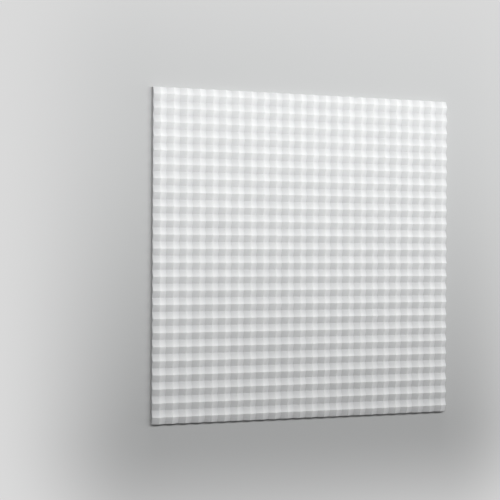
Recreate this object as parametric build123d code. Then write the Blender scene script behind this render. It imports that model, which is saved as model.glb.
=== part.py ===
from build123d import *
import os

# Decorative wall panel, moulded in one piece. Its back is flat. Its front is two zigzag waves
# that cross at right angles and add up, so each cell of the relief has four flat facets that
# meet in a point at its middle, and all four edges of the panel run along valleys.
# The panel lies on its back: X runs across it, Y runs up it and Z points out of the front.

# Driving sizes, in millimetres
PANEL_WIDTH = 1000.0  # along X
PANEL_HEIGHT = 1000.0  # along Y
CELL_WIDTH = 41.7  # along X, then fitted so that whole cells fill the width
CELL_HEIGHT = 41.7  # along Y, then fitted so that whole cells fill the height
BASE_THICKNESS = 10.0  # from the back to the lowest points of the relief
COLUMN_RISE = 7.5  # from valley to ridge of the wave that runs across the panel
ROW_RISE = 7.5  # from valley to ridge of the wave that runs up the panel

columns = round(PANEL_WIDTH / CELL_WIDTH)
rows = round(PANEL_HEIGHT / CELL_HEIGHT)
half_column = PANEL_WIDTH / columns / 2
half_row = PANEL_HEIGHT / rows / 2
left_edge = -PANEL_WIDTH / 2
right_edge = PANEL_WIDTH / 2
bottom_edge = -PANEL_HEIGHT / 2


def cross_section():
    """The panel cut along X in a valley of the row wave, as a face at Y = 0.

    Its top is the column wave. It goes on below the back, so far that its underside is still
    below the back when the section has slid up to a ridge of the row wave.
    """
    zigzag = [
        (left_edge + step * half_column, BASE_THICKNESS + step % 2 * COLUMN_RISE)
        for step in range(2 * columns + 1)
    ]
    underside = -BASE_THICKNESS - ROW_RISE
    outline = Polyline(*zigzag, (right_edge, underside), (left_edge, underside), close=True)
    return Plane.XZ * make_face(outline)


def row_of_cells():
    """One row: the section slides up one slope of the row wave, and its mirror image comes down."""
    slope = Vector(0, half_row, ROW_RISE)
    rising_half = extrude(cross_section(), amount=slope.length, dir=slope)
    ridge_plane = Plane((0, half_row, 0), x_dir=(1, 0, 0), z_dir=(0, 1, 0))
    return rising_half + mirror(rising_half, about=ridge_plane)


def relief_panel():
    """All rows side by side as one solid, cut off flat at the back."""
    row = row_of_cells()
    all_rows = [Pos(0, bottom_edge + index * 2 * half_row, 0) * row for index in range(rows)]
    return split(Part() + all_rows, bisect_by=Plane.XY, keep=Keep.TOP)


os.makedirs("parts", exist_ok=True)
export_step(relief_panel(), "parts/relief_panel.step")
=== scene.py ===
import math

import bpy
import numpy as np
from mathutils import Matrix, Vector


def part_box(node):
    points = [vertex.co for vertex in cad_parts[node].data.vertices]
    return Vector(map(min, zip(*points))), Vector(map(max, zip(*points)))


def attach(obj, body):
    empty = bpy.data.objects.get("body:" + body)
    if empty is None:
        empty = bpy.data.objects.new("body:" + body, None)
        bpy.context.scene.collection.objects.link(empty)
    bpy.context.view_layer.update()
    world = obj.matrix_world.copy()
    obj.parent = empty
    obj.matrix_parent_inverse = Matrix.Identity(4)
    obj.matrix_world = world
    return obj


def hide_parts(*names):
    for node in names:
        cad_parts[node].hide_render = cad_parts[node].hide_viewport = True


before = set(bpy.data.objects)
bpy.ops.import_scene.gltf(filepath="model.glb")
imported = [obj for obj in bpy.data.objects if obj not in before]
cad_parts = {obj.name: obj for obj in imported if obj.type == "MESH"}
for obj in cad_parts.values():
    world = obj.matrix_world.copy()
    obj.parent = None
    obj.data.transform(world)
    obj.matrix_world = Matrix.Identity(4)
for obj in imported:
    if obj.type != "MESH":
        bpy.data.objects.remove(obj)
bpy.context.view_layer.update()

# The panel: one moulding of rigid polyurethane foam, cast in an open mould and sprayed with white primer.
# Its front is two zigzag waves that cross at right angles and add up. The mould leaves a small radius on
# every ridge and in every valley. The sides are square, and the back is flat and bare, ready for glue.
PANEL_NODE = "relief_panel"
CELLS_ACROSS = 24
CELLS_UP = 24
WAVE_RISE = 0.0075
RIDGE_RADIUS = 0.0010
VALLEY_RADIUS = 0.0014
EDGE_RADIUS = 0.0008
ARC_POINTS = 4
EDGE_POINTS = 3
# The valley colour is painted shade: the primer is drawn greyer down in the valleys than on the ridges.
PRIMER_WITH_PAINTED_VALLEY_SHADE = "#D9DADB"
PRIMER_ON_RIDGES = "#F3F4F4"
PRIMER_IOR = 1.5
SMOOTHEST_PRIMER = 0.66
ROUGHEST_PRIMER = 0.84
DRIFT_SHARE = 0.2
GRAIN_DEPTH = 0.00006
FOAM_IN_PORES = "#D9D1BC"
FOAM_SKIN = "#EBE5D4"
OVERSPRAY_MARGIN = 0.0005
MM_PER_METRE = 1000.0
DRIFT_MM = 111.0
GRAIN_MM = 1.25
PORE_MM = 1.82

panel_low, panel_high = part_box(PANEL_NODE)


def wave_stations(start, end, cells):
    """Places along one wave where its rounded zigzag needs a row of points.

    Each ridge and each valley takes points at equal angles round its arc, from one facet's tangent
    to the next. The two ends, where the panel is cut through a valley, take points round the edge.
    """
    half_cell = (end - start) / cells / 2
    slope_angle = math.atan(WAVE_RISE / half_cell)
    arc = np.sin(np.linspace(-slope_angle, slope_angle, ARC_POINTS))
    crests = start + half_cell * np.arange(1, 2 * cells)
    radii = np.where(np.arange(1, 2 * cells) % 2 == 1, RIDGE_RADIUS, VALLEY_RADIUS)
    inner = (crests[:, None] + radii[:, None] * arc).ravel()
    edge = EDGE_RADIUS * (1 - np.cos(np.linspace(0, math.pi / 2, EDGE_POINTS)))
    return np.concatenate([start + edge, inner, end - edge[::-1]])


def rounded_zigzag(place, start, end, cells):
    """Height of one wave over its valleys: a straight slope up and down, with an arc at each crest.

    The arc of radius r touches both slopes, so it lies r / cos(slope) - sqrt(r^2 - t^2) inside the
    sharp crest at the distance t from it, as far as the tangent points at r * sin(slope).
    """
    half_cell = (end - start) / cells / 2
    slope_angle = math.atan(WAVE_RISE / half_cell)
    step = (place - start) / half_cell
    nearest = np.round(step)
    is_ridge = nearest % 2 == 1
    off_crest = np.abs(step - nearest) * half_cell
    radius = np.where(is_ridge, RIDGE_RADIUS, VALLEY_RADIUS)
    reach = np.minimum(off_crest, radius * math.sin(slope_angle))
    arc_gap = radius / math.cos(slope_angle) - np.sqrt(radius**2 - reach**2)
    from_crest = np.where(off_crest > reach, off_crest * math.tan(slope_angle), arc_gap)
    at_end = (nearest == 0) | (nearest == 2 * cells)
    from_crest = np.where(at_end, off_crest * math.tan(slope_angle), from_crest)
    return np.where(is_ridge, WAVE_RISE - from_crest, from_crest)


def edge_drop(place, start, end):
    """How far the eased edge lies under the facet: a quarter circle over the last EDGE_RADIUS."""
    inside = np.minimum(place - start, end - place)
    from_centre = EDGE_RADIUS - np.clip(inside, 0, EDGE_RADIUS)
    return EDGE_RADIUS - np.sqrt(EDGE_RADIUS**2 - from_centre**2)


def panel_mesh():
    """The front as a height field on a grid of stations, walls straight down from its rim, and a flat back.

    The height is the base plus both waves, less the larger of the two edge drops. The back is a fan
    of triangles from its middle to the foot of the walls, so the mesh is closed.
    """
    x = wave_stations(panel_low.x, panel_high.x, CELLS_ACROSS)
    y = wave_stations(panel_low.y, panel_high.y, CELLS_UP)
    base = panel_high.z - 2 * WAVE_RISE
    height_x = rounded_zigzag(x, panel_low.x, panel_high.x, CELLS_ACROSS)
    height_y = rounded_zigzag(y, panel_low.y, panel_high.y, CELLS_UP)
    drop_x = edge_drop(x, panel_low.x, panel_high.x)
    drop_y = edge_drop(y, panel_low.y, panel_high.y)
    front = np.empty((len(y), len(x), 3))
    front[..., 0] = x
    front[..., 1] = y[:, None]
    front[..., 2] = base + height_x + height_y[:, None] - np.maximum(drop_x, drop_y[:, None])
    index = np.arange(front.shape[0] * front.shape[1]).reshape(front.shape[:2])
    rim = np.concatenate([index[0, :-1], index[:-1, -1], index[-1, :0:-1], index[:0:-1, 0]])
    foot = front.reshape(-1, 3)[rim].copy()
    foot[:, 2] = panel_low.z
    middle = np.array([[0.0, 0.0, panel_low.z]])
    points = np.concatenate([front.reshape(-1, 3), foot, middle])
    foot_index = index.size + np.arange(len(rim))
    next_rim = np.roll(rim, -1)
    next_foot = np.roll(foot_index, -1)
    front_quads = np.stack([index[:-1, :-1], index[:-1, 1:], index[1:, 1:], index[1:, :-1]], axis=-1)
    wall_quads = np.stack([foot_index, next_foot, next_rim, rim], axis=-1)
    back_fan = np.stack([next_foot, foot_index, np.full(len(rim), len(points) - 1)], axis=-1)
    faces = front_quads.reshape(-1, 4).tolist() + wall_quads.tolist() + back_fan.tolist()
    mesh = bpy.data.meshes.new("moulded_panel")
    mesh.from_pydata(points.tolist(), [], faces)
    mesh.update()
    return mesh


def linear(hex_colour):
    """An sRGB hex colour as linear RGBA."""
    parts = [int(hex_colour[i : i + 2], 16) / 255 for i in (1, 3, 5)]
    return [p / 12.92 if p <= 0.04045 else ((p + 0.055) / 1.055) ** 2.4 for p in parts] + [1.0]


def add_node(tree, kind, inputs, **settings):
    """Adds one node with its settings. Each input, by name or number, takes a value or an output."""
    node = tree.nodes.new(kind)
    for name, value in settings.items():
        setattr(node, name, value)
    for socket, value in inputs.items():
        if isinstance(value, bpy.types.NodeSocket):
            tree.links.new(value, node.inputs[socket])
        else:
            node.inputs[socket].default_value = value
    return node


def primed_foam():
    """Matt white primer sprayed on moulded foam: no gloss, a fine dry grain, and a soft change of tone.

    The primer's colour is darker down in the valleys, which is painted shade, and drifts a little over
    the panel. The back is bare foam, cream and finely pored. The real grain and pores are about
    0.2 mm across; they are drawn at 1 to 2 mm, so that they show at all.
    """
    material = bpy.data.materials.new("white_sprayed_primer_on_moulded_foam")
    material.use_nodes = True
    tree = material.node_tree
    place = add_node(tree, "ShaderNodeTexCoord", {}).outputs["Object"]
    axis = add_node(tree, "ShaderNodeSeparateXYZ", {0: place}).outputs
    half_column = (panel_high.x - panel_low.x) / CELLS_ACROSS / 2
    half_row = (panel_high.y - panel_low.y) / CELLS_UP / 2
    column_wave = add_node(tree, "ShaderNodeMath", {0: axis["X"], 1: half_column}, operation="PINGPONG")
    row_wave = add_node(tree, "ShaderNodeMath", {0: axis["Y"], 1: half_row}, operation="PINGPONG")
    both_waves = add_node(tree, "ShaderNodeMath", {0: column_wave.outputs[0], 1: row_wave.outputs[0]})
    # 0 where two valleys cross, 1 where two ridges cross: the mask for the painted valley shade.
    height = add_node(
        tree, "ShaderNodeMapRange", {"Value": both_waves.outputs[0], "From Max": half_column + half_row}
    )
    drift = add_node(
        tree, "ShaderNodeTexNoise", {"Vector": place, "Scale": MM_PER_METRE / DRIFT_MM, "Detail": 3.0}
    )
    drift_part = add_node(
        tree,
        "ShaderNodeMapRange",
        {"Value": drift.outputs["Fac"], "To Min": -DRIFT_SHARE, "To Max": DRIFT_SHARE},
    )
    painted_shade_and_drift = add_node(
        tree, "ShaderNodeMath", {0: height.outputs["Result"], 1: drift_part.outputs["Result"]}
    )
    # The primer runs from painted shade in the valleys to its full tone on the ridges, with a little random
    # drift.
    primer = add_node(
        tree,
        "ShaderNodeMix",
        {0: painted_shade_and_drift.outputs[0], 6: linear(PRIMER_WITH_PAINTED_VALLEY_SHADE), 7: linear(PRIMER_ON_RIDGES)},
        data_type="RGBA",
    )

    pores = add_node(tree, "ShaderNodeTexVoronoi", {"Vector": place, "Scale": MM_PER_METRE / PORE_MM})
    foam = add_node(
        tree,
        "ShaderNodeMix",
        {0: pores.outputs["Distance"], 6: linear(FOAM_IN_PORES), 7: linear(FOAM_SKIN)},
        data_type="RGBA",
    )
    bare_level = panel_low.z + OVERSPRAY_MARGIN
    on_back = add_node(tree, "ShaderNodeMath", {0: axis["Z"], 1: bare_level}, operation="LESS_THAN")
    colour = add_node(
        tree,
        "ShaderNodeMix",
        {0: on_back.outputs[0], 6: primer.outputs[2], 7: foam.outputs[2]},
        data_type="RGBA",
    )

    grain = add_node(
        tree, "ShaderNodeTexNoise", {"Vector": place, "Scale": MM_PER_METRE / GRAIN_MM, "Detail": 2.0}
    )
    roughness = add_node(
        tree,
        "ShaderNodeMapRange",
        {"Value": grain.outputs["Fac"], "To Min": SMOOTHEST_PRIMER, "To Max": ROUGHEST_PRIMER},
    )
    bump = add_node(tree, "ShaderNodeBump", {"Height": grain.outputs["Fac"], "Distance": GRAIN_DEPTH})
    shader = tree.nodes["Principled BSDF"]
    tree.links.new(colour.outputs[2], shader.inputs["Base Color"])
    tree.links.new(roughness.outputs["Result"], shader.inputs["Roughness"])
    tree.links.new(bump.outputs["Normal"], shader.inputs["Normal"])
    shader.inputs["IOR"].default_value = PRIMER_IOR
    return material


panel = bpy.data.objects.new("moulded_panel", panel_mesh())
bpy.context.scene.collection.objects.link(panel)
panel.data.materials.append(primed_foam())
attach(panel, "root")
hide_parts(PANEL_NODE)

# The floor that the panel lies on: plain, pale and matt, a little darker than the panel so that its edges
# show. It throws back less light than its tone would, so that the shaded sides of the panel stay dark,
# and away from the panel it fades into the pale background.
FLOOR_SIDE = 40.0
FLOOR_GAP = 0.0002
FLOOR_TONE = "#C8C9C9"
FLOOR_BOUNCE = "#7C7D7D"
FLOOR_ROUGHNESS = 0.9
FADE_LENGTH = 0.5
BACKGROUND_STRENGTH = 0.7

floor_level = panel_low.z - FLOOR_GAP
floor_corners = [(-1, -1), (1, -1), (1, 1), (-1, 1)]
floor_mesh = bpy.data.meshes.new("floor")
floor_mesh.from_pydata(
    [(x * FLOOR_SIDE / 2, y * FLOOR_SIDE / 2, floor_level) for x, y in floor_corners], [], [(0, 1, 2, 3)]
)
floor = bpy.data.objects.new("floor", floor_mesh)
bpy.context.scene.collection.objects.link(floor)


def seen_directly(tree):
    """1 for rays from the camera, in mirrors and through glass, and 0 for the rays that carry light on."""
    ray = add_node(tree, "ShaderNodeLightPath", {}).outputs
    seen = add_node(
        tree, "ShaderNodeMath", {0: ray["Is Camera Ray"], 1: ray["Is Glossy Ray"]}, operation="MAXIMUM"
    )
    seen = add_node(
        tree, "ShaderNodeMath", {0: seen.outputs[0], 1: ray["Is Transmission Ray"]}, operation="MAXIMUM"
    )
    return seen.outputs[0]


def pale_floor():
    """Matt paint that fades into the tone of the background as the distance from the panel's edge grows.

    That distance is the length of what is left of a place's |x| and |y| past half the panel's sides.
    """
    material = bpy.data.materials.new("pale_matt_painted_floor")
    material.use_nodes = True
    tree = material.node_tree
    seen = seen_directly(tree)
    paint = tree.nodes["Principled BSDF"]
    paint.inputs["Roughness"].default_value = FLOOR_ROUGHNESS
    paint_colour = add_node(
        tree, "ShaderNodeMix", {0: seen, 6: linear(FLOOR_BOUNCE), 7: linear(FLOOR_TONE)}, data_type="RGBA"
    )
    tree.links.new(paint_colour.outputs[2], paint.inputs["Base Color"])
    place = add_node(tree, "ShaderNodeTexCoord", {}).outputs["Object"]
    either_side = add_node(tree, "ShaderNodeVectorMath", {0: place}, operation="ABSOLUTE").outputs[0]
    past_edge = add_node(
        tree, "ShaderNodeVectorMath", {0: either_side, 1: panel_high}, operation="SUBTRACT"
    ).outputs[0]
    outside = add_node(
        tree, "ShaderNodeVectorMath", {0: past_edge, 1: (0, 0, 0)}, operation="MAXIMUM"
    ).outputs[0]
    distance = add_node(tree, "ShaderNodeVectorMath", {0: outside}, operation="LENGTH").outputs["Value"]
    fade = add_node(
        tree,
        "ShaderNodeMapRange",
        {"Value": distance, "From Max": FADE_LENGTH},
        interpolation_type="SMOOTHSTEP",
    )
    fade_seen = add_node(tree, "ShaderNodeMath", {0: fade.outputs["Result"], 1: seen}, operation="MULTIPLY")
    background = add_node(tree, "ShaderNodeEmission", {"Strength": BACKGROUND_STRENGTH})
    mixed = add_node(
        tree, "ShaderNodeMixShader", {0: fade_seen.outputs[0], 1: paint.outputs[0], 2: background.outputs[0]}
    )
    tree.links.new(mixed.outputs[0], tree.nodes["Material Output"].inputs["Surface"])
    return material


floor.data.materials.append(pale_floor())

# The light: one long lamp with a grid hangs over the upper part of the panel, turned a little to the left,
# so that the light falls off towards the bottom edge and the left side lies in shade. Two weak, low and
# very soft suns, at the right and beyond the top edge, rake over the ridges and leave the valleys darker.
LAMP_PLACE = (0.0, 0.65, 2.2)
LAMP_LENGTH = 8.0
LAMP_WIDTH = 0.4
LAMP_TURN = math.radians(7)
LAMP_SPREAD = math.radians(122)
LAMP_WATTS = 62.0
# The suns' angles are in degrees: a bearing of 0 is the panel's right, and 90 is its top.
LOW_SUNS = {
    "right_sun": {"bearing": 0, "height": 8, "spread": 25, "strength": 0.56},
    "top_sun": {"bearing": 90, "height": 4, "spread": 15, "strength": 1.08},
}
FILL_STRENGTH = 0.08

lamp_data = bpy.data.lights.new("long_lamp", "AREA")
lamp_data.shape = "RECTANGLE"
lamp_data.size = LAMP_LENGTH
lamp_data.size_y = LAMP_WIDTH
lamp_data.spread = LAMP_SPREAD
lamp_data.energy = LAMP_WATTS
lamp = bpy.data.objects.new("long_lamp", lamp_data)
lamp.location = LAMP_PLACE
lamp.rotation_euler = (0, LAMP_TURN, 0)
lamp.visible_camera = False
bpy.context.scene.collection.objects.link(lamp)

for sun_name, sun in LOW_SUNS.items():
    sun_data = bpy.data.lights.new(sun_name, "SUN")
    sun_data.energy = sun["strength"]
    sun_data.angle = math.radians(sun["spread"])
    sun_object = bpy.data.objects.new(sun_name, sun_data)
    bearing = math.radians(sun["bearing"])
    towards_sun = Vector((math.cos(bearing), math.sin(bearing), math.tan(math.radians(sun["height"]))))
    sun_object.rotation_mode = "QUATERNION"
    sun_object.rotation_quaternion = towards_sun.to_track_quat("Z", "Y")
    bpy.context.scene.collection.objects.link(sun_object)

world = bpy.data.worlds.new("pale_background")
bpy.context.scene.world = world
world.use_nodes = True
sky = world.node_tree
sky_strength = add_node(
    sky,
    "ShaderNodeMapRange",
    {"Value": seen_directly(sky), "To Min": FILL_STRENGTH, "To Max": BACKGROUND_STRENGTH},
)
sky.nodes["Background"].inputs["Color"].default_value = (1, 1, 1, 1)
sky.links.new(sky_strength.outputs["Result"], sky.nodes["Background"].inputs["Strength"])

# The camera: it looks down on the panel from beyond its left side with a long lens, so that the left edge
# is nearer and a little longer than the right one.
CAMERA_PLACE = Vector((-1.8262, 0.0120, 3.9090))
CAMERA_AIM = Vector((-0.1863, 0.0179, 0.0100))
CAMERA_ROLL = math.radians(0.262)
CAMERA_LENS = 100.0
SENSOR_WIDTH = 36.0

forward = (CAMERA_AIM - CAMERA_PLACE).normalized()
right = forward.cross(Vector((0, 1, 0))).normalized()
up = right.cross(forward)
facing = Matrix((right, up, -forward)).transposed()
camera_data = bpy.data.cameras.new("camera")
camera_data.lens = CAMERA_LENS
camera_data.sensor_width = SENSOR_WIDTH
camera = bpy.data.objects.new("camera", camera_data)
camera.matrix_world = (
    Matrix.Translation(CAMERA_PLACE) @ facing.to_4x4() @ Matrix.Rotation(CAMERA_ROLL, 4, "Z")
)
bpy.context.scene.collection.objects.link(camera)
bpy.context.scene.camera = camera
bpy.context.scene.view_settings.view_transform = "Standard"
